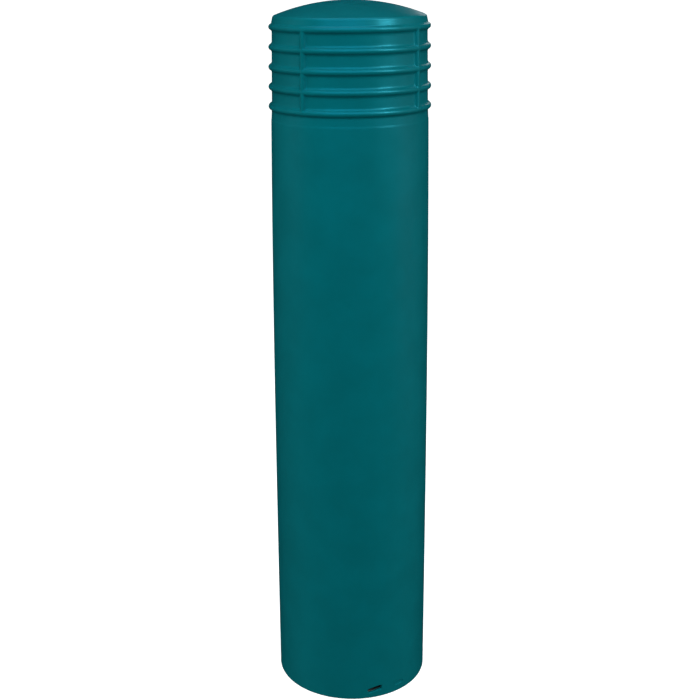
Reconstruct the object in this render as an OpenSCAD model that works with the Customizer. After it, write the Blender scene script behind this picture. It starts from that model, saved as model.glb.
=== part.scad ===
// Safety bollard: a concrete-filled steel post on an anchored foot plate, wearing a moulded
// one-piece plastic cover that stands on the ground and lifts straight off.
// Millimetres, +Z up. The origin is on the ground at the centre of the post, and -Y is the front.

/* [Cover] */
// Outside diameter of the cover at its foot
foot_d = 254; // [246:1:320]
// Height of the cover from the ground to the top of its dome
cover_h = 1136; // [900:2:1500]
// Wall thickness of the cover
wall = 5; // [3.5:0.5:7]
// Radius that the cover loses between its foot and its shoulder
head_draft = 8.5; // [0:0.5:12]
// Rise of the dome above the sharp shoulder corner
dome_rise = 23; // [14:1:40]
// Rounding of the shoulder
shoulder_r = 5.5; // [5.5:0.5:9]
// Rounding of the outer edge of the foot
foot_round = 1.5; // [0.5:0.5:3]

/* [Rings and uprights] */
// Number of rings moulded round the head
ring_count = 5; // [2:1:7]
// Height from one ring to the next
ring_pitch = 29.5; // [22:0.5:40]
// Distance from the top of the dome down to the middle of the top ring
ring_drop = 38; // [34:1:60]
// Radius of the half-round section of rings and uprights
rib_r = 5.4; // [4:0.1:8]
// Depth of the section's centre below the panel face
rib_sink = 0.4; // [0:0.1:1]
// Number of upright ribs that join the rings
upright_count = 4; // [3:1:8]
// Direction of the first upright, turned from the front towards +X
upright_az = 55.6; // [0:0.1:90]
// Depth of the panels between the rings
panel_recess = 1; // [0:0.1:1.5]
// Height below the lowest ring over which the recess runs out
flare_h = 21; // [16:1:40]
// Height of the small ledge that ends the recess
ledge_h = 3; // [2:0.5:6]
// Step of the wall at that ledge
ledge_step = 0.4; // [0.2:0.1:0.8]

/* [Foot slot and index mark] */
// Length of the slot round the foot
slot_w = 26; // [16:1:40]
// Height of the slot
slot_h = 8; // [6:0.5:12]
// Height of the slot's middle above the foot plate
slot_rise = 5.8; // [4:0.1:16]
// Direction of the slot, turned from the front towards +X
slot_az = 18; // [-80:0.1:30]
// Tilt of the slot, right end up
slot_tilt = 12; // [-20:1:20]
// Angle from the slot on to the index mark
mark_turn = 21.5; // [18:0.1:40]
// Length of the index mark
mark_w = 16; // [10:1:24]
// Depth of the index mark
mark_depth = 1.2; // [0.5:0.1:2]

/* [Post] */
// Outside diameter of the steel pipe
pipe_d = 168.3; // [114.3:0.1:180]
// Wall thickness of the steel pipe
pipe_t = 7.11; // [4:0.01:11]
// Distance from the top of the dome down to the rim of the pipe
head_space = 45; // [40:1:70]
// Rise of the concrete crown above the pipe's rim
crown_rise = 12; // [6:1:16]

/* [Foot plate] */
// Thickness of the foot plate
plate_t = 10; // [8:0.5:16]
// Gap all round between the foot plate and the cover
plate_gap = 3; // [1.5:0.5:6]
// Chamfer on the plate's edges
plate_chamfer = 1; // [0.5:0.5:2]
// Number of anchor holes, with one gusset between each two
anchor_count = 4; // [3:1:4]
// Diameter of the anchor holes
anchor_d = 14; // [10:0.5:16]

/* [Gussets and welds] */
// Thickness of a gusset
gusset_t = 8; // [5:0.5:12]
// Height of a gusset
gusset_h = 80; // [50:1:110]
// Width of a gusset's flat top
gusset_top = 8; // [4:1:12]
// Height of a gusset's outer end
gusset_toe = 10; // [4:1:16]
// Distance from a gusset's outer end to the plate's edge
gusset_setback = 6; // [4:1:12]
// Corner cut off a gusset to clear the weld round the pipe
gusset_snipe = 10; // [9:1:14]
// Leg of the fillet weld round the pipe
base_leg = 6; // [4:0.5:8]
// Leg of the fillet welds along the gussets
gusset_leg = 4; // [3:0.5:5]

/* [Foam] */
// Width of a foam centring block
foam_w = 60; // [30:1:80]
// Height of a foam centring block
foam_h = 150; // [80:5:200]
// Distance from the top of the gussets up to the lower blocks
foam_low_gap = 60; // [20:5:120]
// Distance from the pipe's rim down to the upper blocks
foam_top_gap = 60; // [20:5:120]
// Diameter of the crown pad
pad_d = 100; // [60:1:120]
// Clearance of the foam to what it touches
soft_gap = 0.3; // [0.2:0.1:0.5]

/* [Hidden] */
$fn = 96;
BLOCKS = 4;
// Overrun that lets a cut pass clean through a face
cut = 1;
// Steps along the long taper, the shoulder and the dome
TAPER_STEPS = 16;
SHOULDER_STEPS = 8;
DOME_STEPS = 20;

foot_r = foot_d / 2;
shoulder_z = cover_h - dome_rise;
collar_r = foot_r - head_draft;
ring_top_z = cover_h - ring_drop;
ring_low_z = ring_top_z - (ring_count - 1) * ring_pitch;
flare_z = ring_low_z - flare_h;
slot_z = plate_t + slot_rise;

pipe_r = pipe_d / 2;
core_r = pipe_r - pipe_t;
pipe_top = cover_h - head_space;
plate_r = foot_r - wall - plate_gap;
anchor_pcd = pipe_r + plate_r + base_leg / 2;
bay = 360 / anchor_count;
gusset_out = plate_r - gusset_setback;
gusset_top_z = plate_t + gusset_h;
foam_low_z = gusset_top_z + foam_low_gap;
foam_high_z = pipe_top - foam_top_gap - foam_h;
block_bay = 360 / BLOCKS;

// The dome is part of a sphere through the sharp shoulder corner
dome_r = (pow(collar_r, 2) + pow(dome_rise, 2)) / (2 * dome_rise);
dome_z = cover_h - dome_r;
crown_r = (pow(core_r, 2) + pow(crown_rise, 2)) / (2 * crown_rise);
crown_z = pipe_top + crown_rise - crown_r;

TEAL = [0.01, 0.36, 0.39];
YELLOW = [0.95, 0.72, 0.05];
STEEL = [0.42, 0.43, 0.45];
CONCRETE = [0.66, 0.65, 0.62];
FOAM = [0.16, 0.16, 0.17];

// Outside radius of the plain cover at height z: straight at the foot, drawn in towards the head
function body_r(z) = foot_r - head_draft * pow(z / shoulder_z, 3);

// Points of the long plain wall from the ground up to the flare, set in by inset
function wall_points(inset) = [
    for (i = [1:TAPER_STEPS]) let (z = flare_z * i / TAPER_STEPS) [body_r(z) - inset, z]
];

// Points of the rounded shoulder and the dome, set in by inset and rounded by r at the shoulder
function head_points(inset, r) =
    let (side = collar_r - inset, sphere_r = dome_r - inset)
    let (z = dome_z + sqrt(pow(sphere_r - r, 2) - pow(side - r, 2)))
    let (turn = atan2(z - dome_z, side - r))
    concat(
        [for (i = [0:SHOULDER_STEPS - 1]) let (a = turn * i / SHOULDER_STEPS)
            [side - r + r * cos(a), z + r * sin(a)]],
        [for (i = [0:DOME_STEPS]) let (a = turn + (90 - turn) * i / DOME_STEPS)
            [i == DOME_STEPS ? 0 : sphere_r * cos(a), dome_z + sphere_r * sin(a)]]
    );

// Turns its children to face the direction az, measured from the front towards +X
module facing(az) rotate([0, 0, az - 90]) children();

module cover_outside() {
    rotate_extrude() polygon(concat(
        [[0, 0], [foot_r - foot_round, 0], [foot_r, foot_round]],
        wall_points(0),
        [[body_r(flare_z) - ledge_step, flare_z + ledge_h]],
        [[body_r(ring_low_z) - panel_recess, ring_low_z]],
        [[body_r(ring_top_z) - panel_recess, ring_top_z]],
        [[collar_r, ring_top_z]],
        head_points(0, shoulder_r)
    ));
}

module cover_inside() {
    rotate_extrude() polygon(concat(
        [[0, -cut], [foot_r - wall, -cut], [foot_r - wall, 0]],
        wall_points(wall),
        [[collar_r - wall, ring_top_z]],
        head_points(wall, shoulder_r - wall)
    ));
}

module ring(z) {
    rotate_extrude() translate([body_r(z) - panel_recess - rib_sink, z]) circle(r = rib_r);
}

module upright(az) {
    low_x = body_r(ring_low_z) - panel_recess - rib_sink;
    top_x = body_r(ring_top_z) - panel_recess - rib_sink;
    lean = atan2(low_x - top_x, ring_top_z - ring_low_z);
    facing(az) translate([low_x, 0, ring_low_z]) rotate([0, -lean, 0])
        cylinder(r = rib_r, h = (ring_top_z - ring_low_z) / cos(lean));
}

// A round-ended slot w long and h high, tilted and cut inwards from the direction az
module slot_cut(az, w, h, tilt, from_r, depth) {
    run = w - h;
    facing(az) translate([from_r - depth, 0, slot_z]) rotate([0, 90, 0]) rotate([0, 0, tilt]) {
        for (side = [-1, 1]) translate([0, side * run / 2, 0])
            cylinder(r = h / 2, h = depth + cut, $fn = 48);
        translate([-h / 2, -run / 2, 0]) cube([h, run, depth + cut]);
    }
}

module cover_shell() {
    color(TEAL) difference() {
        union() {
            cover_outside();
            for (i = [0:ring_count - 1]) ring(ring_low_z + i * ring_pitch);
            for (i = [0:upright_count - 1]) upright(upright_az + i * 360 / upright_count);
        }
        cover_inside();
        slot_cut(slot_az, slot_w, slot_h, slot_tilt, foot_r, 2 * wall);
        slot_cut(slot_az + mark_turn, mark_w, slot_h * 3 / 4, 0, foot_r, mark_depth);
    }
}

module steel_pipe() {
    color(YELLOW) translate([0, 0, plate_t]) difference() {
        cylinder(r = pipe_r, h = pipe_top - plate_t);
        translate([0, 0, -cut]) cylinder(r = core_r, h = pipe_top - plate_t + 2 * cut);
    }
}

module foot_plate() {
    c = plate_chamfer;
    color(STEEL) difference() {
        rotate_extrude() polygon([
            [0, 0], [plate_r - c, 0], [plate_r, c],
            [plate_r, plate_t - c], [plate_r - c, plate_t], [0, plate_t]
        ]);
        for (i = [0:anchor_count - 1]) facing((i + 0.5) * bay)
            translate([anchor_pcd / 2, 0, -cut]) cylinder(d = anchor_d, h = plate_t + 2 * cut);
    }
}

module pipe_weld() {
    color(STEEL) rotate_extrude() polygon([
        [pipe_r, plate_t], [pipe_r + base_leg, plate_t], [pipe_r, plate_t + base_leg]
    ]);
}

// Fills the inside of the pipe and ends in a low crown that sheds water
module concrete_core() {
    color(CONCRETE) {
        translate([0, 0, plate_t]) cylinder(r = core_r, h = pipe_top - plate_t);
        intersection() {
            translate([0, 0, crown_z]) sphere(r = crown_r);
            translate([0, 0, pipe_top]) cylinder(r = core_r, h = 2 * crown_rise);
        }
    }
}

// Seats on the crown and follows the underside of the dome
module crown_pad() {
    color(FOAM) difference() {
        intersection() {
            translate([0, 0, pipe_top]) cylinder(d = pad_d, h = head_space);
            translate([0, 0, dome_z]) sphere(r = dome_r - wall - soft_gap);
        }
        translate([0, 0, crown_z]) sphere(r = crown_r + soft_gap);
    }
}

// Takes the pipe's round side out of what is welded against it
module against_pipe() {
    difference() {
        children();
        cylinder(r = pipe_r, h = cover_h);
    }
}

module gusset(az) {
    back = gusset_t;
    color(YELLOW) against_pipe() facing(az) rotate([90, 0, 0])
        linear_extrude(height = gusset_t, center = true) polygon([
            [pipe_r - back, gusset_top_z], [pipe_r + gusset_top, gusset_top_z],
            [gusset_out, plate_t + gusset_toe], [gusset_out, plate_t],
            [pipe_r + gusset_snipe, plate_t], [pipe_r, plate_t + gusset_snipe],
            [pipe_r - back, plate_t + gusset_snipe]
        ]);
}

// Fillet welds on both sides of a gusset, along the plate and up the pipe
module gusset_weld(az) {
    start = gusset_snipe;
    color(STEEL) against_pipe() facing(az) for (side = [0, 1]) mirror([0, side, 0])
        translate([0, gusset_t / 2, 0]) {
            translate([pipe_r + start, 0, plate_t]) rotate([90, 0, 90])
                linear_extrude(height = gusset_out - pipe_r - start)
                polygon([[0, 0], [gusset_leg, 0], [0, gusset_leg]]);
            translate([pipe_r, 0, plate_t + start])
                linear_extrude(height = gusset_h - start)
                polygon([[-gusset_leg, 0], [gusset_leg, 0], [0, gusset_leg], [-gusset_leg, gusset_leg]]);
        }
}

// A block of closed-cell foam between the pipe and the cover, from z upwards
module foam_block(az, z) {
    outer = body_r(z + foam_h) - wall - soft_gap;
    color(FOAM) intersection() {
        facing(az) translate([pipe_r / 2, -foam_w / 2, z]) cube([foot_r, foam_w, foam_h]);
        difference() {
            cylinder(r = outer, h = cover_h);
            translate([0, 0, -cut]) cylinder(r = pipe_r + soft_gap, h = cover_h + 2 * cut);
        }
    }
}

cover_shell();
steel_pipe();
foot_plate();
pipe_weld();
concrete_core();
crown_pad();
for (i = [1:anchor_count]) {
    gusset((i - 1) * bay);
    gusset_weld((i - 1) * bay);
}
for (i = [1:BLOCKS]) {
    foam_block((i - 0.5) * block_bay, foam_low_z);
    foam_block((i - 0.5) * block_bay, foam_high_z);
}
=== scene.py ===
import math

import bmesh
import bpy
from mathutils import Euler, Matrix, Quaternion, Vector, noise


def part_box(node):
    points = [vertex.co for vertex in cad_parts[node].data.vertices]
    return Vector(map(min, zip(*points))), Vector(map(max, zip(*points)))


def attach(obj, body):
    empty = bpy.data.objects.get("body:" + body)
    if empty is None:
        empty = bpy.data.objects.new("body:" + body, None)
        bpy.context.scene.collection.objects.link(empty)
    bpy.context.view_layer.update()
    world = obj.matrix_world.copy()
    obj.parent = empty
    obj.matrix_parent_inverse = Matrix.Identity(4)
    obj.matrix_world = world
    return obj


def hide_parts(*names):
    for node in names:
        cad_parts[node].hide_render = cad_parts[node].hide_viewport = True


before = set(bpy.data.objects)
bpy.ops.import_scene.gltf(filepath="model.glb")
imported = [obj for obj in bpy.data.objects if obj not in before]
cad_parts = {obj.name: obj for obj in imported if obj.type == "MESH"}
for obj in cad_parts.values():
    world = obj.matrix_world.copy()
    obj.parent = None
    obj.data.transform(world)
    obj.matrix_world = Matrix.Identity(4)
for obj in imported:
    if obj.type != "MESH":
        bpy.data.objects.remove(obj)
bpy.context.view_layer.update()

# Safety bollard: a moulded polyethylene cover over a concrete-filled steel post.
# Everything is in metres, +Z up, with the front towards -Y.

mm = 0.001

cover = {
    "footRadius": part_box("cover_shell")[1][0],
    "height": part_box("cover_shell")[1][2],
    "wall": 5 * mm,
    "draft": 8.5 * mm,           # the head is this much smaller in radius than the foot
    "domeRise": 23 * mm,
    "shoulderRound": 5.5 * mm,
    "footRound": 1.5 * mm,
    "innerFootRound": 0.8 * mm,
    "ringCount": 5,
    "ringPitch": 29.5 * mm,
    "ringDrop": 38 * mm,         # top ring below the top of the dome
    "ribHeight": 5 * mm,         # rings and uprights stand this far out of the panels
    "ribRound": 4.6 * mm,        # radius of a rib's nose
    "rootFillet": 4.5 * mm,
    "crossingBlend": 1.5 * mm,   # how softly an upright runs into a ring
    "endFade": 1 * mm,           # an upright's ends run out over this height
    "uprightCount": 4,
    "uprightTurn": 55.6,         # degrees, from the front towards +X
    "panelRecess": 1 * mm,
    "flareHeight": 21 * mm,      # the recess runs out over this height below the lowest ring
    "ledgeHeight": 3 * mm,
    "ledgeStep": 0.4 * mm,
    "collarLean": 11,            # degrees that the collar leans in above the top ring
    "leanStart": 3 * mm,         # above the ring's middle
}
slots = {
    "slotTurn": 18,              # degrees, from the front towards +X
    "slotTilt": 12,              # degrees, right end up
    "slotWidth": 26 * mm,
    "slotHeight": 8 * mm,
    "middleHeight": 15.8 * mm,   # middle of the slot above the ground
    "markTurn": 39.5,
    "markWidth": 16 * mm,
    "markHeight": 6 * mm,
    "markDepth": 1.2 * mm,
    "lipRound": 1 * mm,
}
# rows and lines of the cover's mesh
rows = {
    "footZone": 30 * mm,         # the rows are closer below this height
    "footStep": 3.2 * mm,
    "bodyStep": 22 * mm,
    "bodyEnd": 2 * mm,           # below the foot of the flare
    "ledgeRows": (-1.2, -0.4, 0, 0.4, 1.2),    # mm, about each of the ledge's corners
    "ringStep": 2.8 * mm,        # between the rings
    "collarStep": 1.5 * mm,
    "insideStep": 30 * mm,
    "insideFoot": [30 * mm, 18 * mm, 8 * mm],
    "aroundStep": 2.6,           # degrees, between the uprights
}
shoulderHeight = cover["height"] - cover["domeRise"]
collarRadius = cover["footRadius"] - cover["draft"]
ringTop = cover["height"] - cover["ringDrop"]
ringLow = ringTop - (cover["ringCount"] - 1) * cover["ringPitch"]
flareFoot = ringLow - cover["flareHeight"]
domeRadius = (collarRadius ** 2 + cover["domeRise"] ** 2) / (2 * cover["domeRise"])
domeMiddle = cover["height"] - domeRadius


def linearColour(hexCode):
    channels = [int(hexCode[i:i + 2], 16) / 255 for i in (1, 3, 5)]
    linear = [c / 12.92 if c <= 0.04045 else ((c + 0.055) / 1.055) ** 2.4 for c in channels]
    return (*linear, 1)


def fillInputs(node, inputs):
    # gives each input a value, or a link from an output or from a node's first output
    for key, value in inputs.items():
        if isinstance(value, bpy.types.Node):
            value = value.outputs[0]
        if isinstance(value, bpy.types.NodeSocket):
            node.id_data.links.new(value, node.inputs[key])
        else:
            node.inputs[key].default_value = value


def addNode(tree, kind, inputs=None, **settings):
    # adds a node, sets its options and fills its inputs
    node = tree.nodes.new(kind)
    for name, value in settings.items():
        setattr(node, name, value)
    fillInputs(node, inputs or {})
    return node


def newPiece(name, data):
    piece = bpy.data.objects.new(name, data)
    bpy.context.scene.collection.objects.link(piece)
    return piece


def applied(piece, name):
    # the evaluated mesh as a plain one, in place of the piece and its modifiers
    graph = bpy.context.evaluated_depsgraph_get()
    mesh = bpy.data.meshes.new_from_object(piece.evaluated_get(graph))
    bpy.data.objects.remove(piece)
    mesh.name = name
    return newPiece(name, mesh)


def finishedMesh(name, builder):
    # a mesh from a bmesh, with its faces turned outwards
    bmesh.ops.recalc_face_normals(builder, faces=builder.faces)
    mesh = bpy.data.meshes.new(name)
    builder.to_mesh(mesh)
    builder.free()
    return mesh


def smoothShade(mesh, sharpAngle=35):
    mesh.shade_smooth()
    mesh.set_sharp_from_angle(angle=math.radians(sharpAngle))


def setInputs(piece, tree, values):
    # a Geometry Nodes modifier whose inputs are set by name before it is first evaluated
    modifier = piece.modifiers.new(tree.name, "NODES")
    modifier.node_group = tree
    for socket in tree.interface.items_tree:
        if socket.in_out == "INPUT" and socket.name in values:
            modifier[socket.identifier] = values[socket.name]


def newTree(name, inputs, outputs):
    tree = bpy.data.node_groups.new(name, "GeometryNodeTree")
    for side, sockets in (("INPUT", inputs), ("OUTPUT", outputs)):
        for label, kind in sockets:
            tree.interface.new_socket(name=label, in_out=side, socket_type=f"NodeSocket{kind}")
    return tree, tree.nodes.new("NodeGroupInput").outputs


def finishTree(tree, geometry, material):
    # the end of every tree: plain geometry with its material
    realized = addNode(tree, "GeometryNodeRealizeInstances", {"Geometry": geometry})
    painted = addNode(tree, "GeometryNodeSetMaterial", {"Geometry": realized, "Material": material})
    addNode(tree, "NodeGroupOutput", {"Geometry": painted})


def finishPiece(piece, material, body, slotName, *nodes, sharpAngle=35):
    # shades a piece, gives it one material, ties it to its body and hides the nodes it stands for
    piece.data.materials.clear()
    piece.data.materials.append(material)
    smoothShade(piece.data, sharpAngle)
    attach(piece, body)
    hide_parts(*nodes)


def newMaterial(name, colours, noises):
    # a Principled material and what it is built from: its colours in linear light, its place in the
    # piece's own space, and noises, each given by its size in mm, its detail and its roughness
    material = bpy.data.materials.new(name)
    material.use_nodes = True
    tree = material.node_tree
    given = {label: linearColour(code) for label, code in colours.items()}
    given["place"] = addNode(tree, "ShaderNodeTexCoord").outputs["Object"]
    for label, (size, detail, roughness) in noises.items():
        given[label] = addNode(tree, "ShaderNodeTexNoise", {
            "Vector": given["place"], "Scale": 1 / (size * mm), "Detail": detail, "Roughness": roughness})
    return material, tree, tree.nodes["Principled BSDF"], given


def tealPolyethylene():
    # rotationally moulded polyethylene: coloured right through, a soft satin gloss over faint
    # orange peel, long waves where the wall shrank in the mould, and pale scuffs from handling
    material, tree, surface, given = newMaterial(
        "tealPolyethylene", {"deep": "#006F76", "pale": "#00757D", "scuff": "#2F8489"},
        {"mottle": (55, 4, 0.55), "patches": (90, 2, 0.5), "gloss": (20, 5, 0.6),
         "peel": (2.2, 2, 0.45), "wave": (120, 1.5, 0.4)})
    base = addNode(tree, "ShaderNodeValToRGB", {"Fac": given["mottle"]})
    for stop, position, label in zip(base.color_ramp.elements, (0.35, 0.7), ("deep", "pale")):
        stop.position = position
        stop.color = given[label]
    # scuffs run mostly round the post, 20 to 60 mm long
    stretched = addNode(tree, "ShaderNodeMapping", {"Vector": given["place"], "Scale": (18, 18, 160)})
    scuffNoise = addNode(tree, "ShaderNodeTexNoise", {
        "Vector": stretched, "Scale": 1, "Detail": 6, "Roughness": 0.7})
    scuffLines = addNode(tree, "ShaderNodeMapRange", {
        "Value": scuffNoise, "From Min": 0.66, "From Max": 0.78})
    scuffPlaces = addNode(tree, "ShaderNodeMapRange", {
        "Value": given["patches"], "From Min": 0.56, "From Max": 0.7})
    scuffs = addNode(tree, "ShaderNodeMath", {0: scuffLines, 1: scuffPlaces}, operation="MULTIPLY")
    scuffShare = addNode(tree, "ShaderNodeMath", {0: scuffs, 1: 0.5}, operation="MULTIPLY")
    colour = addNode(tree, "ShaderNodeMix", {
        "Factor": scuffShare, "A": base, "B": given["scuff"]}, data_type="RGBA")
    roughness = addNode(tree, "ShaderNodeMapRange", {
        "Value": given["gloss"], "From Min": 0.3, "From Max": 0.7, "To Min": 0.32, "To Max": 0.4})
    roughened = addNode(tree, "ShaderNodeMath", {0: scuffs, 1: 0.25, 2: roughness}, operation="MULTIPLY_ADD")
    # orange peel is about 2 mm across and the shrinkage waves about 120 mm
    waveBump = addNode(tree, "ShaderNodeBump", {
        "Height": given["wave"], "Strength": 0.5, "Distance": 1.6 * mm})
    peelBump = addNode(tree, "ShaderNodeBump", {
        "Height": given["peel"], "Strength": 0.25, "Distance": 0.12 * mm, "Normal": waveBump})
    fillInputs(surface, {"IOR": 1.51, "Specular Tint": (0.06, 0.75, 1.0, 1.0), "Normal": peelBump,
                         "Base Color": colour.outputs["Result"], "Roughness": roughened})
    return material


def yellowEnamel():
    # brushed safety-yellow enamel over mill-finish pipe: thick, slightly wavy, chipped to grey primer
    material, tree, surface, given = newMaterial(
        "yellowEnamel", {"enamel": "#F5B80E", "faded": "#EBA90C", "chip": "#5B5C5A"},
        {"fading": (140, 5, 0.6), "chipNoise": (9, 6, 0.65)})
    base = addNode(tree, "ShaderNodeMix", {
        "Factor": given["fading"], "A": given["enamel"], "B": given["faded"]}, data_type="RGBA")
    chips = addNode(tree, "ShaderNodeMapRange", {
        "Value": given["chipNoise"], "From Min": 0.71, "From Max": 0.73})
    colour = addNode(tree, "ShaderNodeMix", {
        "Factor": chips, "A": base.outputs["Result"], "B": given["chip"]}, data_type="RGBA")
    roughness = addNode(tree, "ShaderNodeMapRange", {
        "Value": given["chipNoise"], "To Min": 0.25, "To Max": 0.5})
    # brush marks run round the pipe
    brushed = addNode(tree, "ShaderNodeMapping", {"Vector": given["place"], "Scale": (15, 15, 400)})
    strokes = addNode(tree, "ShaderNodeTexNoise", {"Vector": brushed, "Scale": 1, "Detail": 3})
    strokeBump = addNode(tree, "ShaderNodeBump", {"Height": strokes, "Strength": 0.3, "Distance": 0.3 * mm})
    chipBump = addNode(tree, "ShaderNodeBump", {
        "Height": chips, "Strength": 0.8, "Distance": 0.15 * mm, "Normal": strokeBump}, invert=True)
    fillInputs(surface, {"IOR": 1.5, "Coat Weight": 0.15, "Base Color": colour.outputs["Result"],
                         "Roughness": roughness, "Normal": chipBump})
    return material


def greyPrimer():
    # matt zinc primer over hot-rolled plate, with mill scale showing as faint pitting
    material, tree, surface, given = newMaterial(
        "greyPrimer", {"primer": "#55585A", "thin": "#3E4042"},
        {"patches": (25, 8, 0.65), "pits": (1.5, 4, 0.6)})
    colour = addNode(tree, "ShaderNodeMix", {
        "Factor": given["patches"], "A": given["primer"], "B": given["thin"]}, data_type="RGBA")
    roughness = addNode(tree, "ShaderNodeMapRange", {
        "Value": given["patches"], "To Min": 0.55, "To Max": 0.8})
    bump = addNode(tree, "ShaderNodeBump", {"Height": given["pits"], "Strength": 0.4, "Distance": 0.2 * mm})
    fillInputs(surface, {"IOR": 1.5, "Base Color": colour.outputs["Result"], "Roughness": roughness,
                         "Normal": bump})
    return material


def weldMetal():
    # wire-brushed weld bead: dull steel with brown patches of heat tint
    material, tree, surface, given = newMaterial(
        "weldMetal", {"bright": "#8F8B85", "brown": "#5A4C3E"}, {"tint": (6, 4, 0.6)})
    colour = addNode(tree, "ShaderNodeMix", {
        "Factor": given["tint"], "A": given["bright"], "B": given["brown"]}, data_type="RGBA")
    roughness = addNode(tree, "ShaderNodeMapRange", {"Value": given["tint"], "To Min": 0.3, "To Max": 0.6})
    fillInputs(surface, {"Metallic": 0.9, "Base Color": colour.outputs["Result"], "Roughness": roughness})
    return material


def castConcrete():
    # trowelled cement with fine sand, darker damp patches, and pin holes left by air that are painted dark
    # as painted shade inside them
    material, tree, surface, given = newMaterial(
        "castConcrete", {"light": "#A6A29A", "dark": "#7D7A73", "poreShade": "#4A4844"},
        {"cloud": (40, 8, 0.7), "sand": (1.2, 3, 0.6)})
    base = addNode(tree, "ShaderNodeMix", {
        "Factor": given["cloud"], "A": given["light"], "B": given["dark"]}, data_type="RGBA")
    cells = addNode(tree, "ShaderNodeTexVoronoi", {"Vector": given["place"], "Scale": 1 / (9 * mm)})
    holes = addNode(tree, "ShaderNodeMapRange", {
        "Value": cells, "From Min": 0.1, "From Max": 0.16, "To Min": 1, "To Max": 0})
    # painted shade: the pin holes are coloured dark for the shade that falls inside them
    colour = addNode(tree, "ShaderNodeMix", {
        "Factor": holes, "A": base.outputs["Result"], "B": given["poreShade"]}, data_type="RGBA")
    sandBump = addNode(tree, "ShaderNodeBump", {
        "Height": given["sand"], "Strength": 0.6, "Distance": 0.4 * mm})
    holeBump = addNode(tree, "ShaderNodeBump", {
        "Height": holes, "Strength": 0.8, "Distance": 0.8 * mm, "Normal": sandBump}, invert=True)
    fillInputs(surface, {"IOR": 1.5, "Roughness": 0.9, "Base Color": colour.outputs["Result"],
                         "Normal": holeBump})
    return material


def closedCellFoam():
    # cross-linked polyethylene foam, cut with a hot wire: dark grey, matt, with 1.4 mm cells
    material, tree, surface, given = newMaterial(
        "closedCellFoam", {"cell": "#34363A", "wallEdge": "#474A4E"}, {})
    cells = addNode(tree, "ShaderNodeTexVoronoi", {"Vector": given["place"], "Scale": 1 / (1.4 * mm)})
    colour = addNode(tree, "ShaderNodeMix", {
        "Factor": cells, "A": given["cell"], "B": given["wallEdge"]}, data_type="RGBA")
    bump = addNode(tree, "ShaderNodeBump", {"Height": cells, "Strength": 0.5, "Distance": 0.3 * mm})
    fillInputs(surface, {"IOR": 1.45, "Roughness": 0.85, "Base Color": colour.outputs["Result"],
                         "Normal": bump})
    return material


def studioFloor():
    # white studio paper, evenly lit from behind so that it stays pale right up the wall
    material, tree, surface, given = newMaterial(
        "studioFloor", {"light": "#F8F8F7", "dark": "#F4F4F3", "glow": "#FFFFFF"},
        {"grain": (1000 / 3, 3, 0.5)})
    colour = addNode(tree, "ShaderNodeMix", {
        "Factor": given["grain"], "A": given["light"], "B": given["dark"]}, data_type="RGBA")
    fillInputs(surface, {"Roughness": 0.9, "Emission Strength": 0.75, "Emission Color": given["glow"],
                         "Base Color": colour.outputs["Result"]})
    return material


materials = {
    "teal_plastic": tealPolyethylene(),
    "yellow_paint": yellowEnamel(),
    "primed_steel": greyPrimer(),
    "weld_metal": weldMetal(),
    "concrete": castConcrete(),
    "foam": closedCellFoam(),
}
print("materials made:", ", ".join(materials))


def bodyRadius(z):
    # plain outside radius: straight near the foot, drawn in towards the head
    return cover["footRadius"] - cover["draft"] * (z / shoulderHeight) ** 3


def recessAt(z):
    # the panels are set back; below the lowest ring the recess runs out and ends in a small ledge
    if z > ringTop:
        return 0
    ledgeTop = flareFoot + cover["ledgeHeight"]
    if z < ledgeTop:
        return cover["ledgeStep"] * max((z - flareFoot) / cover["ledgeHeight"], 0)
    share = min((z - ledgeTop) / (ringLow - ledgeTop), 1)
    return cover["ledgeStep"] + (cover["panelRecess"] - cover["ledgeStep"]) * share


def ribReach():
    # half width of a rib with its root fillets, and where the fillet meets the nose
    nose, fillet = cover["ribRound"], cover["rootFillet"]
    reach = math.sqrt((nose + fillet) ** 2 - (fillet + nose - cover["ribHeight"]) ** 2)
    return reach, reach * nose / (nose + fillet)


def ribOffsets(noseSteps=8, filletSteps=6):
    # distances from a rib's middle at which the mesh gets a line, closer where it curves more
    reach, tangent = ribReach()
    nose, fillet = cover["ribRound"], cover["rootFillet"]
    last = math.asin(tangent / nose)
    bend = math.asin((reach - tangent) / fillet)
    offsets = [nose * math.sin(last * i / noseSteps) for i in range(noseSteps + 1)]
    offsets += [reach - fillet * math.sin(bend * (1 - i / filletSteps)) for i in range(1, filletSteps + 1)]
    return offsets


def spread(start, end, step):
    # evenly spaced values between two ends, leaving both ends out
    count = max(1, round(abs(end - start) / step))
    return [start + (end - start) * i / count for i in range(1, count)]


def collarDrop(height):
    # how far the collar above the top ring leans in at a height
    rise = max(0, height - ringTop - cover["leanStart"])
    return math.tan(math.radians(cover["collarLean"])) * rise ** 2 / (rise + cover["leanStart"])


def headArc(inset, rounding, shoulderSteps=10, domeSteps=22):
    # the rounded shoulder and the dome, from the collar to the top
    lean = math.radians(cover["collarLean"])
    side, sphere = collarRadius - inset - rounding, domeRadius - inset
    # the lean depends on the height where the arc starts, so both are found in turns
    for _ in range(8):
        middle = domeMiddle + math.sqrt((sphere - rounding) ** 2 - side ** 2)
        start = middle + rounding * math.sin(lean)
        side = collarRadius - inset - collarDrop(start) - rounding * math.cos(lean)
    turn = math.atan2(middle - domeMiddle, side)
    arc = []
    for i in range(shoulderSteps):
        angle = lean + (turn - lean) * i / shoulderSteps
        arc.append((side + rounding * math.cos(angle), middle + rounding * math.sin(angle)))
    for i in range(domeSteps + 1):
        angle = turn + (math.pi / 2 - turn) * i / domeSteps
        arc.append((sphere * math.cos(angle), domeMiddle + sphere * math.sin(angle)))
    return arc


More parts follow.
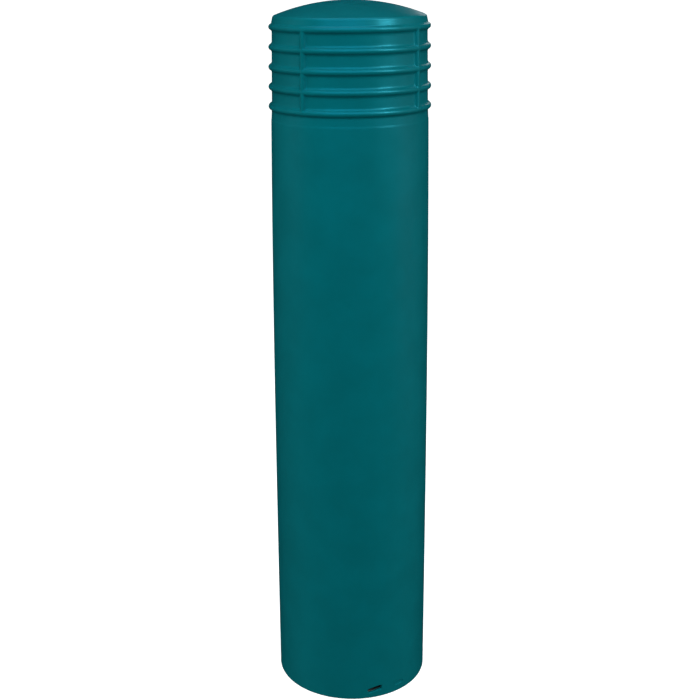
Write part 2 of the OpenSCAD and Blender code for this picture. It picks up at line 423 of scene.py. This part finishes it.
def outerMeridian():
    # (radius, height) from the foot edge to the top of the dome
    edge = cover["footRound"]
    points = []
    for i in range(5):
        angle = math.radians(90 * i / 4)
        points.append((cover["footRadius"] - edge + edge * math.sin(angle), edge - edge * math.cos(angle)))
    ledgeTop = flareFoot + cover["ledgeHeight"]
    zone = rows["footZone"]
    heights = spread(edge, zone, rows["footStep"]) + [zone]
    heights += spread(zone, flareFoot - rows["bodyEnd"], rows["bodyStep"])
    for corner in (flareFoot, ledgeTop):
        heights += [corner + step * mm for step in rows["ledgeRows"]]
    offsets = ribOffsets()
    reach = offsets[-1]
    below = ledgeTop + rows["ledgeRows"][-1] * mm
    for ring in range(cover["ringCount"]):
        middle = ringLow + ring * cover["ringPitch"]
        heights += spread(below, middle - reach, rows["ringStep"])
        heights += [middle - d for d in reversed(offsets[1:])] + [middle + d for d in offsets]
        below = middle + reach
    points += [(bodyRadius(z) - recessAt(z) - collarDrop(z), z) for z in heights]
    head = headArc(0, cover["shoulderRound"])
    points += [(collarRadius - collarDrop(z), z) for z in spread(below, head[0][1], rows["collarStep"])]
    return points + head


def innerMeridian():
    # the same for the inside, from under the top of the dome down to the foot edge
    wall = cover["wall"]
    points = list(reversed(headArc(wall, cover["shoulderRound"] - wall, shoulderSteps=4, domeSteps=12)))
    heights = [ringTop] + spread(ringTop, rows["insideFoot"][0], rows["insideStep"]) + rows["insideFoot"]
    points += [(bodyRadius(z) - wall, z) for z in heights]
    edge = cover["innerFootRound"]
    corner = cover["footRadius"] - wall + edge
    for i in range(4):
        angle = math.radians(90 * i / 3)
        points.append((corner - edge * math.cos(angle), edge - edge * math.sin(angle)))
    return points


def coverAngles():
    # close together over each upright rib, wider apart on the plain stretches between them
    turns = []
    bay = math.radians(360 / cover["uprightCount"])
    offsets = [d / bodyRadius(ringTop) for d in ribOffsets()]
    for k in range(cover["uprightCount"]):
        middle = math.radians(cover["uprightTurn"]) + k * bay
        turns += [middle - a for a in reversed(offsets[1:])] + [middle + a for a in offsets]
        turns += spread(middle + offsets[-1], middle + bay - offsets[-1], math.radians(rows["aroundStep"]))
    return turns


def lathe(name, run, angles, skinFrom=0):
    # turns a run of (radius, height) about the post's axis, where both its ends lie; what follows
    # skinFrom is marked as the outer skin
    builder = bmesh.new()
    skin = builder.verts.layers.float.new("outerSkin")
    loops = [[builder.verts.new((r * math.sin(a), -r * math.cos(a), z)) for a in angles]
             for r, z in run[1:-1]]
    for loop in loops[skinFrom:]:
        for vertex in loop:
            vertex[skin] = 1.0
    first = builder.verts.new((0, 0, run[0][1]))
    last = builder.verts.new((0, 0, run[-1][1]))
    for i in range(len(angles)):
        j = (i + 1) % len(angles)
        builder.faces.new((loops[0][j], loops[0][i], first))
        builder.faces.new((loops[-1][i], loops[-1][j], last))
        for lower, upper in zip(loops, loops[1:]):
            builder.faces.new((lower[i], lower[j], upper[j], upper[i]))
    return finishedMesh(name, builder)


def ribSectionTree():
    # height of a round-nosed rib with root fillets, at a distance from its middle
    section, given = newTree("ribSection", [
        ("Distance", "Float"), ("Nose", "Float"), ("Height", "Float"), ("Fillet", "Float"),
        ("Reach", "Float"), ("Tangent", "Float")], [("Rise", "Float")])
    values = {socket.name: socket for socket in given}
    sums = (
        ("noseSquare", "MULTIPLY", "Nose", "Nose"),
        ("distanceSquare", "MULTIPLY", "Distance", "Distance"),
        ("square", "SUBTRACT", "noseSquare", "distanceSquare"),
        ("positive", "MAXIMUM", "square", 0.0),
        ("arc", "SQRT", "positive"),
        ("noseMiddle", "SUBTRACT", "Height", "Nose"),
        ("crown", "ADD", "arc", "noseMiddle"),
        ("away", "SUBTRACT", "Reach", "Distance"),
        ("filletSquare", "MULTIPLY", "Fillet", "Fillet"),
        ("awaySquare", "MULTIPLY", "away", "away"),
        ("hollow", "SUBTRACT", "filletSquare", "awaySquare"),
        ("hollowPositive", "MAXIMUM", "hollow", 0.0),
        ("hollowArc", "SQRT", "hollowPositive"),
        ("root", "SUBTRACT", "Fillet", "hollowArc"),
        ("onCrown", "LESS_THAN", "Distance", "Tangent"),
        ("onRib", "LESS_THAN", "Distance", "Reach"),
        ("onRoot", "SUBTRACT", "onRib", "onCrown"),
        ("rootPart", "MULTIPLY", "onRoot", "root"),
        ("rise", "MULTIPLY_ADD", "onCrown", "crown", "rootPart"))
    for name, operation, *terms in sums:
        inputs = {index: values.get(term, term) for index, term in enumerate(terms)}
        values[name] = addNode(section, "ShaderNodeMath", inputs, operation=operation)
    addNode(section, "NodeGroupOutput", {"Rise": values["rise"]})
    return section


def mouldedRibsTree():
    # pushes the rings and uprights out of the plain cover
    section = ribSectionTree()
    tree, given = newTree("mouldedRibs", [
        ("Geometry", "Geometry"), ("Foot Radius", "Float"), ("Draft", "Float"), ("Shoulder Height", "Float"),
        ("Panel Recess", "Float"), ("Lowest Ring", "Float"), ("Top Ring", "Float"), ("Ring Pitch", "Float"),
        ("Ring Count", "Int"), ("Upright Count", "Int"), ("Upright Turn", "Float"), ("Rib Nose", "Float"),
        ("Rib Height", "Float"), ("Root Fillet", "Float"), ("Rib Reach", "Float"), ("Rib Tangent", "Float"),
        ("Crossing Blend", "Float"), ("End Fade", "Float"), ("Material", "Material")],
        [("Geometry", "Geometry")])
    where = addNode(tree, "GeometryNodeInputPosition")
    axes = addNode(tree, "ShaderNodeSeparateXYZ", {0: where}).outputs
    leastRise = 0.1 * mm    # a lower rib does not count in a crossing
    # only the outer skin moves
    skin = addNode(tree, "GeometryNodeInputNamedAttribute", {"Name": "outerSkin"}, data_type="FLOAT")
    values = {socket.name: socket for socket in (*given, *axes)}
    values["skin"] = skin
    sums = (
        ("ySquare", "MULTIPLY", "Y", "Y"),
        ("radiusSquare", "MULTIPLY_ADD", "X", "X", "ySquare"),
        ("radius", "SQRT", "radiusSquare"),
        # rings: distance from the nearest ring's middle
        ("overLowest", "SUBTRACT", "Z", "Lowest Ring"),
        ("pitches", "DIVIDE", "overLowest", "Ring Pitch"),
        ("nearest", "ROUND", "pitches"),
        ("lastRing", "SUBTRACT", "Ring Count", 1.0),
        ("notBelow", "MAXIMUM", "nearest", 0.0),
        ("ring", "MINIMUM", "notBelow", "lastRing"),
        ("ringMiddle", "MULTIPLY_ADD", "ring", "Ring Pitch", "Lowest Ring"),
        ("ringOffset", "SUBTRACT", "Z", "ringMiddle"),
        ("fromRing", "ABSOLUTE", "ringOffset"),
        ("ringRise", "ribSection", "fromRing"),
        # uprights: distance round the cover from the nearest upright's middle
        ("ahead", "MULTIPLY", "Y", -1.0),
        ("turn", "ARCTAN2", "X", "ahead"),
        ("halfBay", "DIVIDE", math.pi, "Upright Count"),
        ("minusHalfBay", "MULTIPLY", "halfBay", -1.0),
        ("turnPast", "SUBTRACT", "turn", "Upright Turn"),
        ("aside", "WRAP", "turnPast", "halfBay", "minusHalfBay"),
        ("asideSize", "ABSOLUTE", "aside"),
        ("fromUpright", "MULTIPLY", "asideSize", "radius"),
        ("fullUpright", "ribSection", "fromUpright"),
        # an upright ends inside the lowest and the top ring
        ("lowEnd", "SUBTRACT", "Lowest Ring", "End Fade"),
        ("topEnd", "ADD", "Top Ring", "End Fade"),
        ("overEnd", "SUBTRACT", "Z", "lowEnd"),
        ("underEnd", "SUBTRACT", "topEnd", "Z"),
        ("lowShare", "DIVIDE", "overEnd", "End Fade"),
        ("topShare", "DIVIDE", "underEnd", "End Fade"),
        ("lowFloor", "MAXIMUM", "lowShare", 0.0),
        ("topFloor", "MAXIMUM", "topShare", 0.0),
        ("lowFade", "MINIMUM", "lowFloor", 1.0),
        ("topFade", "MINIMUM", "topFloor", 1.0),
        ("fade", "MULTIPLY", "lowFade", "topFade"),
        ("uprightRise", "MULTIPLY", "fullUpright", "fade"),
        # where they cross, the taller one wins, with a soft line between them
        ("blended", "SMOOTH_MAX", "ringRise", "uprightRise", "Crossing Blend"),
        ("onRing", "GREATER_THAN", "ringRise", leastRise),
        ("onUpright", "GREATER_THAN", "uprightRise", leastRise),
        ("crossing", "MULTIPLY", "onRing", "onUpright"),
        ("taller", "MAXIMUM", "ringRise", "uprightRise"),
        ("extra", "SUBTRACT", "blended", "taller"),
        ("rise", "MULTIPLY_ADD", "crossing", "extra", "taller"),
        # the ribs stand on the panels, which narrow towards the head
        ("heightShare", "DIVIDE", "Z", "Shoulder Height"),
        ("cubed", "POWER", "heightShare", 3.0),
        ("narrowing", "MULTIPLY", "Draft", "cubed"),
        ("footPanel", "SUBTRACT", "Foot Radius", "Panel Recess"),
        ("panel", "SUBTRACT", "footPanel", "narrowing"),
        ("ribbed", "ADD", "panel", "rise"),
        ("outermost", "MAXIMUM", "radius", "ribbed"),
        ("grown", "DIVIDE", "outermost", "radius"),
        ("newX", "MULTIPLY", "X", "grown"),
        ("newY", "MULTIPLY", "Y", "grown"),
        # and only between the ends of the lowest and the top ring
        ("overTop", "SUBTRACT", "Z", "Top Ring"),
        ("underLow", "SUBTRACT", "Lowest Ring", "Z"),
        ("belowDome", "LESS_THAN", "overTop", "Rib Reach"),
        ("aboveFlare", "LESS_THAN", "underLow", "Rib Reach"),
        ("between", "MULTIPLY", "belowDome", "aboveFlare"),
        ("chosen", "MULTIPLY", "skin", "between"))
    for name, operation, *terms in sums:
        if operation == "ribSection":
            values[name] = addNode(tree, "GeometryNodeGroup", {
                "Distance": values[terms[0]], "Nose": given["Rib Nose"], "Height": given["Rib Height"],
                "Fillet": given["Root Fillet"], "Reach": given["Rib Reach"],
                "Tangent": given["Rib Tangent"]}, node_tree=section)
            continue
        inputs = {index: values.get(term, term) for index, term in enumerate(terms)}
        values[name] = addNode(tree, "ShaderNodeMath", inputs, operation=operation)
    moved = addNode(tree, "ShaderNodeCombineXYZ", {
        "X": values["newX"], "Y": values["newY"], "Z": values["Z"]})
    picked = addNode(tree, "FunctionNodeCompare", {
        "A": values["chosen"], "B": 0.5}, data_type="FLOAT", operation="GREATER_THAN")
    shaped = addNode(tree, "GeometryNodeSetPosition", {
        "Geometry": given["Geometry"], "Selection": picked, "Position": moved})
    finishTree(tree, shaped, given["Material"])
    return tree


def slotCutter(name, turn, tilt, width, height, depth):
    # a round-ended slot whose mouth is rounded over, bent to the cover's curve
    lip = slots["lipRound"]
    radius = cover["footRadius"]
    run, end = (width - height) / 2, height / 2
    lean = math.radians(tilt)
    outline = []
    for side, start in ((1, -90), (-1, 90)):
        for i in range(13):
            angle = math.radians(start + 180 * i / 12)
            outline.append((side * run, math.cos(angle), math.sin(angle)))
    # how far in each section lies, and how much wider than the slot it is
    sections = [(-2 * lip, lip)]
    sections += [(lip * i / 5, lip - math.sqrt(lip ** 2 - (lip - lip * i / 5) ** 2)) for i in range(6)]
    sections += [(depth, 0)]
    builder = bmesh.new()
    loops = []
    for inwards, grow in sections:
        loop = []
        for middle, across, upward in outline:
            along, up = middle + across * (end + grow), upward * (end + grow)
            angle = math.radians(turn) + (along * math.cos(lean) - up * math.sin(lean)) / radius
            level = slots["middleHeight"] + along * math.sin(lean) + up * math.cos(lean)
            out = radius - inwards
            loop.append(builder.verts.new((out * math.sin(angle), -out * math.cos(angle), level)))
        loops.append(loop)
    for outer, inner in zip(loops, loops[1:]):
        for i in range(len(outline)):
            j = (i + 1) % len(outline)
            builder.faces.new((outer[i], outer[j], inner[j], inner[i]))
    builder.faces.new(loops[0])
    builder.faces.new(loops[-1])
    return newPiece(name, finishedMesh(name, builder))


def makeCover(material):
    inner, outer = innerMeridian(), outerMeridian()
    blank = newPiece("coverBlank", lathe("coverBlank", inner + outer, coverAngles(), len(inner) - 1))
    reach, tangent = ribReach()
    setInputs(blank, mouldedRibsTree(), {
        "Foot Radius": cover["footRadius"], "Draft": cover["draft"], "Shoulder Height": shoulderHeight,
        "Panel Recess": cover["panelRecess"], "Lowest Ring": ringLow, "Top Ring": ringTop,
        "Ring Pitch": cover["ringPitch"], "Ring Count": cover["ringCount"],
        "Upright Count": cover["uprightCount"], "Upright Turn": math.radians(cover["uprightTurn"]),
        "Rib Nose": cover["ribRound"], "Rib Height": cover["ribHeight"], "Root Fillet": cover["rootFillet"],
        "Rib Reach": reach, "Rib Tangent": tangent, "Crossing Blend": cover["crossingBlend"],
        "End Fade": cover["endFade"], "Material": material})
    ribbed = applied(blank, "coverRibbed")
    cutters = [
        slotCutter("slotCutter", slots["slotTurn"], slots["slotTilt"], slots["slotWidth"],
                   slots["slotHeight"], 2 * cover["wall"]),
        slotCutter("markCutter", slots["markTurn"], 0, slots["markWidth"], slots["markHeight"],
                   slots["markDepth"]),
    ]
    for cutter in cutters:
        cut = ribbed.modifiers.new(cutter.name, "BOOLEAN")
        cut.object = cutter
        cut.solver = "EXACT"
    piece = applied(ribbed, "moulded_cover")
    for cutter in cutters:
        bpy.data.objects.remove(cutter)
    finishPiece(piece, material, "cover", "teal_plastic", "cover_shell")
    return piece


coverPiece = makeCover(materials["teal_plastic"])
print("moulded cover:", len(coverPiece.data.polygons), "faces")

post = {
    "pipeRadius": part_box("steel_pipe")[1][0],
    "rimHeight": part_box("steel_pipe")[1][2],
    "plateTop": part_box("foot_plate")[1][2],
    "edgeRound": 0.8 * mm,       # rolled, cut and ground steel edges
    "gussetThickness": 8 * mm,
    "gussetTop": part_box("gusset_1")[1][2],
    "gussetOut": -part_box("gusset_1")[0][1],
    "gussetSnipe": 10 * mm,      # corner cut off where the gusset would meet the pipe's weld
    "sameSpot": 0.005 * mm,      # points this close are one
    "flatAngle": 0.5,            # degrees: facets that turn less are one face
    "hardAngle": 35,             # degrees: edges that turn more are rounded
}


def bevelledCopy(name, node, slotName):
    # a merged copy of a CAD solid whose hard edges are rounded, to stand for it
    builder = bmesh.new()
    builder.from_mesh(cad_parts[node].data)
    bmesh.ops.remove_doubles(builder, verts=builder.verts, dist=post["sameSpot"])
    bmesh.ops.dissolve_limit(builder, angle_limit=math.radians(post["flatAngle"]), verts=builder.verts,
                             edges=builder.edges)
    hard = [edge for edge in builder.edges
            if edge.is_manifold and edge.calc_face_angle(0) > math.radians(post["hardAngle"])]
    bmesh.ops.bevel(builder, geom=hard, offset=post["edgeRound"], segments=2, profile=0.5,
                    affect="EDGES", clamp_overlap=True)
    piece = newPiece(name, finishedMesh(name, builder))
    finishPiece(piece, materials[slotName], "post", slotName, node, sharpAngle=30)


bevelledCopy("steel_post", "steel_pipe", "yellow_paint")
bevelledCopy("base_plate", "foot_plate", "primed_steel")
for index in range(1, 5):
    bevelledCopy(f"stiffener_{index}", f"gusset_{index}", "yellow_paint")
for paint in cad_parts["concrete_core"].material_slots:
    paint.material = materials["concrete"]
print("steel and concrete finished")

welds = {
    "pipeLeg": 5.8 * mm,
    "gussetLeg": 3.8 * mm,
    "ripplePitch": 2.4 * mm,     # one ripple for each drop of metal
    "rippleDepth": 0.12,         # as a share of the leg
    "faceBulge": 0.08,           # likewise
    "endGap": 0.5 * mm,          # a bead stops this far short of the gusset's ends
    "sides": 180,                # of the ring round the pipe
}


def beadProfile():
    # section of a fillet weld with its corner at the root: two legs and a bulging face
    steps = 6
    points = [(0, 0, 0)]
    for i in range(steps + 1):
        share = i / steps
        bulge = welds["faceBulge"] * math.sin(math.pi * share)
        points.append((1 - share + bulge, -(share + bulge), 0))
    mesh = bpy.data.meshes.new("beadProfile")
    mesh.from_pydata(points, [(i, (i + 1) % len(points)) for i in range(len(points))], [])
    return newPiece("beadProfile", mesh)


def weldBeadTree():
    # sweeps the section along the root lines and swells it once for each ripple
    tree, given = newTree("weldBead", [
        ("Geometry", "Geometry"), ("Profile", "Object"), ("Leg", "Float"), ("Ripple Pitch", "Float"),
        ("Ripple Depth", "Float"), ("Copies", "Int"), ("Material", "Material")], [("Geometry", "Geometry")])
    lines = addNode(tree, "GeometryNodeMeshToCurve", {"Mesh": given["Geometry"]})
    length = addNode(tree, "GeometryNodeSplineParameter").outputs["Length"]
    values = {"length": length, "index": addNode(tree, "GeometryNodeInputIndex")}
    values.update({socket.name: socket for socket in given})
    sums = (
        # five sections to a ripple
        ("step", "DIVIDE", "Ripple Pitch", 5.0),
        ("drops", "DIVIDE", "length", "Ripple Pitch"),
        # a welder's hand wanders a little along the seam
        ("wander", "noise", "drops"),
        ("along", "FRACT", "drops"),
        ("dip", "MULTIPLY", "along", "along"),
        ("loss", "ADD", "dip", "wander"),
        ("share", "MULTIPLY", "loss", "Ripple Depth"),
        ("swell", "SUBTRACT", 1.0, "share"),
        ("scale", "MULTIPLY", "swell", "Leg"),
        # the turn from one gusset to the next
        ("bay", "DIVIDE", 2 * math.pi, "Copies"),
        ("turn", "MULTIPLY", "index", "bay"))
    for name, operation, *terms in sums:
        if operation == "noise":
            values[name] = addNode(tree, "ShaderNodeTexNoise", {
                "W": values[terms[0]], "Scale": 0.35, "Detail": 1.0}, noise_dimensions="1D")
            continue
        inputs = {index: values.get(term, term) for index, term in enumerate(terms)}
        values[name] = addNode(tree, "ShaderNodeMath", inputs, operation=operation)
    fine = addNode(tree, "GeometryNodeResampleCurve", {
        "Curve": lines, "Length": values["step"]}, mode="LENGTH")
    upright = addNode(tree, "GeometryNodeSetCurveNormal", {"Curve": fine}, mode="Z_UP")
    section = addNode(tree, "GeometryNodeObjectInfo", {"Object": given["Profile"]}).outputs["Geometry"]
    sectionLine = addNode(tree, "GeometryNodeMeshToCurve", {"Mesh": section})
    bead = addNode(tree, "GeometryNodeCurveToMesh", {
        "Curve": upright, "Profile Curve": sectionLine, "Scale": values["scale"], "Fill Caps": True})
    # the same beads again for each further gusset, turned about the post
    spots = addNode(tree, "GeometryNodeMeshLine", {"Count": given["Copies"], "Offset": (0, 0, 0)})
    turned = addNode(tree, "ShaderNodeCombineXYZ", {"Z": values["turn"]})
    copies = addNode(tree, "GeometryNodeInstanceOnPoints", {
        "Points": spots, "Instance": bead, "Rotation": turned})
    finishTree(tree, copies, given["Material"])
    return tree


def makeBead(name, points, edges, tree, profile, leg, copies, nodes):
    lines = bpy.data.meshes.new(name + "Lines")
    lines.from_pydata(points, edges, [])
    guide = newPiece(name + "Lines", lines)
    setInputs(guide, tree, {"Profile": profile, "Leg": leg, "Ripple Pitch": welds["ripplePitch"],
                            "Ripple Depth": welds["rippleDepth"], "Copies": copies,
                            "Material": materials["weld_metal"]})
    piece = applied(guide, name)
    builder = bmesh.new()
    builder.from_mesh(piece.data)
    bmesh.ops.recalc_face_normals(builder, faces=builder.faces)
    builder.to_mesh(piece.data)
    builder.free()
    finishPiece(piece, materials["weld_metal"], "post", "weld_metal", *nodes, sharpAngle=50)


def makeWelds():
    tree, profile = weldBeadTree(), beadProfile()
    root, top = post["pipeRadius"], post["plateTop"]
    sides = welds["sides"]
    circle = [(root * math.sin(2 * math.pi * i / sides), -root * math.cos(2 * math.pi * i / sides), top)
              for i in range(sides)]
    makeBead("base_weld", circle, [(i, (i + 1) % sides) for i in range(sides)], tree, profile,
             welds["pipeLeg"], 1, ["pipe_weld"])
    # root lines of the gusset on the +X side: out along the plate and up the pipe on its -Y face,
    # down the pipe and back along the plate on its +Y face
    half = post["gussetThickness"] / 2
    start, lift = root + post["gussetSnipe"], top + post["gussetSnipe"]
    corner = math.sqrt(root ** 2 - half ** 2)
    high, out = post["gussetTop"] - welds["endGap"], post["gussetOut"] - welds["endGap"]
    points = [(start, -half, top), (out, -half, top), (corner, -half, lift), (corner, -half, high),
              (corner, half, high), (corner, half, lift), (out, half, top), (start, half, top)]
    makeBead("stiffener_welds", points, [(0, 1), (2, 3), (4, 5), (6, 7)], tree, profile,
             welds["gussetLeg"], 4, [f"gusset_weld_{index}" for index in range(1, 5)])
    bpy.data.objects.remove(profile)


makeWelds()
print("weld beads run")

foam = {
    "blockWidth": 60 * mm,
    "blockGap": 0.4 * mm,        # clearance to the pipe and the cover
    "blockRound": 5 * mm,
    "bulge": 1.6 * mm,           # the free faces swell a little between pipe and cover
    "evenBulge": 0.75,           # share of it that is the same everywhere
    "unevenBulge": 0.25,
    "padRadius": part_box("crown_pad")[1][0],
    "padRound": 4 * mm,
    "blockUnevenness": 14 * mm,  # size of the uneven patches left by hand cutting
    "padUnevenness": 20 * mm,
    "padWander": 0.008,          # share of the pad's radius
    "stepAcross": 4 * mm,        # of the block's mesh
    "stepUp": 8 * mm,
}


def softNoise(x, y, z, size):
    # smooth uneven cutting, from -1 to 1, the same on every run
    return noise.noise(Vector((x, y, z)) / size)


def foamBlock(name, node, material):
    # a rounded block squeezed between pipe and cover, with hollow and round sides to match them
    low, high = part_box(node)
    middle = (low + high) / 2
    turn = math.atan2(middle.x, -middle.y)
    inner = post["pipeRadius"] + foam["blockGap"]
    outer = bodyRadius(high.z) - cover["wall"] - foam["blockGap"]
    size = Vector((outer - inner, foam["blockWidth"], high.z - low.z))
    builder = bmesh.new()
    bmesh.ops.create_cube(builder, size=1)
    for vertex in builder.verts:
        vertex.co = Vector(a * b for a, b in zip(vertex.co, size))
    bmesh.ops.bevel(builder, geom=builder.edges[:], offset=foam["blockRound"], segments=4, profile=0.5,
                    affect="EDGES")
    wide, tall = size.y / 2 - foam["blockRound"], size.z / 2 - foam["blockRound"]
    for normal, places in (((0, 1, 0), spread(-wide, wide, foam["stepAcross"])),
                           ((0, 0, 1), spread(-tall, tall, foam["stepUp"])),
                           ((1, 0, 0), (-size.x / 6, size.x / 6))):
        for place in places:
            bmesh.ops.bisect_plane(builder, geom=builder.verts[:] + builder.edges[:] + builder.faces[:],
                                   plane_co=Vector(normal) * place, plane_no=normal)
    for vertex in builder.verts:
        depth, side, rise = vertex.co
        across = 1 - (2 * depth / size.x) ** 2    # 0 at the pipe and at the cover, 1 half way
        uneven = foam["unevenBulge"] * softNoise(side, depth, rise + middle.z, foam["blockUnevenness"])
        flattened = foam["bulge"] * (1 - across * (foam["evenBulge"] + uneven))
        side *= 1 - flattened / (size.y / 2)
        rise *= 1 - flattened / (size.z / 2)
        radius = inner + depth + size.x / 2
        reach = math.sqrt(max(radius ** 2 - side ** 2, 0))
        vertex.co = (reach * math.sin(turn) + side * math.cos(turn),
                     -reach * math.cos(turn) + side * math.sin(turn), middle.z + rise)
    piece = newPiece(name, finishedMesh(name, builder))
    finishPiece(piece, material, "post", "foam", node, sharpAngle=60)


def crownPad(material):
    # a round pad that sits on the concrete crown and follows the underside of the dome
    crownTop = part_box("concrete_core")[1][2]
    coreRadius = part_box("concrete_core")[1][0]
    crownRise = crownTop - post["rimHeight"]
    crownRadius = (coreRadius ** 2 + crownRise ** 2) / (2 * crownRise)
    under = domeRadius - cover["wall"] - foam["blockGap"]
    edge, radius = foam["padRound"], foam["padRadius"] - foam["bulge"]

    def bottomAt(r):
        return crownTop - crownRadius + math.sqrt((crownRadius + foam["blockGap"]) ** 2 - r ** 2)

    def topAt(r):
        return domeMiddle + math.sqrt(under ** 2 - r ** 2)

    flat = radius - edge
    inside = [flat * i / 8 for i in range(9)]
    run = [(r, bottomAt(r)) for r in inside]
    lower, upper = bottomAt(flat) + edge, topAt(flat) - edge
    for i in range(1, 6):
        angle = math.radians(90 * i / 5)
        run.append((flat + edge * math.sin(angle), lower - edge * math.cos(angle)))
    for i in range(1, 6):
        share = i / 6
        run.append((radius + foam["bulge"] * math.sin(math.pi * share), lower + (upper - lower) * share))
    for i in range(5):
        angle = math.radians(90 * i / 5)
        run.append((flat + edge * math.cos(angle), upper + edge * math.sin(angle)))
    run += [(r, topAt(r)) for r in reversed(inside)]
    piece = newPiece("head_pad", lathe("head_pad", run, [2 * math.pi * i / 72 for i in range(72)]))
    for vertex in piece.data.vertices:
        if abs(math.hypot(vertex.co.x, vertex.co.y) - radius) < 2 * foam["bulge"]:
            swell = 1 + foam["padWander"] * softNoise(*vertex.co, foam["padUnevenness"])
            vertex.co.x *= swell
            vertex.co.y *= swell
    finishPiece(piece, material, "post", "foam", "crown_pad", sharpAngle=60)


for level in ("lower", "upper"):
    for index in range(1, 5):
        foamBlock(f"{level}_foam_{index}", f"foam_block_{level}_{index}", materials["foam"])
crownPad(materials["foam"])
print("foam cut")

stage = {
    "floorRadius": 9.0,          # the floor runs up into a round wall, so it looks the same all round
    "wallHeight": 9.0,
    "coveRadius": 4.0,
    "skyTop": 0.55,              # brightness of the soft light from above, at eye level and from below
    "skySide": 0.34,
    "skyBelow": 0.16,
}


def makeStage(material):
    steps, sides = 16, 96
    reach = stage["floorRadius"] - stage["coveRadius"]
    profile = []
    for i in range(steps + 1):
        angle = math.pi / 2 * i / steps
        profile.append((reach + stage["coveRadius"] * math.sin(angle),
                        stage["coveRadius"] * (1 - math.cos(angle))))
    profile.append((stage["floorRadius"], stage["wallHeight"]))
    builder = bmesh.new()
    turns = [2 * math.pi * k / sides for k in range(sides)]
    loops = [[builder.verts.new((r * math.cos(a), r * math.sin(a), z)) for a in turns] for r, z in profile]
    builder.faces.new(loops[0])
    for lower, upper in zip(loops, loops[1:]):
        for k in range(sides):
            builder.faces.new((lower[k], lower[(k + 1) % sides], upper[(k + 1) % sides], upper[k]))
    mesh = bpy.data.meshes.new("studioFloor")
    builder.to_mesh(mesh)
    builder.free()
    mesh.materials.append(material)
    floor = newPiece("studioFloor", mesh)
    smoothShade(mesh)
    floor.visible_diffuse = False    # the sky below the horizon stands for the light off the floor
    floor.visible_glossy = False


def makeSky():
    # soft light that is the same all round and differs only with height
    world = bpy.data.worlds.new("studioSky")
    bpy.context.scene.world = world
    world.use_nodes = True
    tree = world.node_tree
    up = addNode(tree, "ShaderNodeSeparateXYZ", {
        0: addNode(tree, "ShaderNodeTexCoord").outputs["Generated"]}).outputs["Z"]
    height = addNode(tree, "ShaderNodeMapRange", {"Value": up, "From Min": -1, "From Max": 1})
    ramp = addNode(tree, "ShaderNodeValToRGB", {"Fac": height.outputs[0]})
    ramp.color_ramp.elements[0].color = (*[stage["skyBelow"]] * 3, 1)
    ramp.color_ramp.elements[1].color = (*[stage["skyTop"]] * 3, 1)
    side = ramp.color_ramp.elements.new(0.5)
    side.color = (*[stage["skySide"]] * 3, 1)
    tree.links.new(ramp.outputs["Color"], tree.nodes["Background"].inputs["Color"])
    world.cycles_visibility.glossy = False


makeStage(studioFloor())
makeSky()
bpy.context.scene.view_settings.view_transform = "Standard"

# each softbox: where it stands, the point it faces, its width and height, its power in watts, its
# colour, and whether it lights the matt colour of a surface or its gloss
softboxes = {
    "frontBox": {"place": (-0.2, -1.2, 2.9), "faces": (0, 0, 1.05), "size": (3.0, 4.2), "power": 108,
                 "colour": "#B4DCFF", "lights": "gloss"},
    "keyBox": {"place": (2.15, -1.45, 2.45), "faces": (0, 0, 2.0), "size": (0.55, 1.9), "power": 90,
               "colour": "#FFFFFF", "lights": "gloss"},
    "bodyBox": {"place": (0, -2.6, 3.0), "faces": (0, 0, 0.9), "size": (3.2, 1.6), "power": 42,
                "colour": "#FFFFFF", "lights": "matt"},
    "leftBox": {"place": (-2.8, -0.4, 1.4), "faces": (0, 0, 0.8), "size": (1.6, 2.2), "power": 19,
                "colour": "#FFFFFF", "lights": "matt"},
    "rightBox": {"place": (2.8, -0.2, 1.0), "faces": (0, 0, 0.5), "size": (1.6, 2.2), "power": 22,
                 "colour": "#FFFFFF", "lights": "matt"},
    "rearBox": {"place": (0.9, 3.0, 1.8), "faces": (0, 0, 1.1), "size": (0.7, 0.5), "power": 2.5,
                "colour": "#FFFFFF", "lights": "gloss"},
}
for name, box in softboxes.items():
    light = bpy.data.lights.new(name, "AREA")
    light.shape = "RECTANGLE"
    light.size, light.size_y = box["size"]
    light.energy = box["power"]
    light.color = linearColour(box["colour"])[:3]
    lamp = newPiece(name, light)
    lamp.location = place = Vector(box["place"])
    lamp.rotation_euler = (Vector(box["faces"]) - place).to_track_quat("-Z", "Y").to_euler()
    lamp.visible_camera = False
    lamp.visible_diffuse = box["lights"] == "matt"
    lamp.visible_glossy = box["lights"] == "gloss"

camera = {
    "distance": 1.8766,
    "height": 1.1975,
    "pitch": 0.3168,             # radians downwards
    "turn": 0.0269,              # radians to the left
    "roll": -0.0119,
    "lens": 61.70,
    "sensor": 36,
    "shift": 0.0429,             # the post stands a little right of the lens axis
}
view = bpy.data.cameras.new("frontCamera")
view.sensor_width = camera["sensor"]
view.lens = camera["lens"]
view.shift_x = camera["shift"]
eye = newPiece("frontCamera", view)
eye.location = (0, -camera["distance"], camera["height"])
aim = Euler((math.pi / 2 - camera["pitch"], 0, camera["turn"])).to_quaternion()
eye.rotation_euler = (aim @ Quaternion((0, 0, 1), camera["roll"])).to_euler()
bpy.context.scene.camera = eye
print("stage, lights and camera placed")
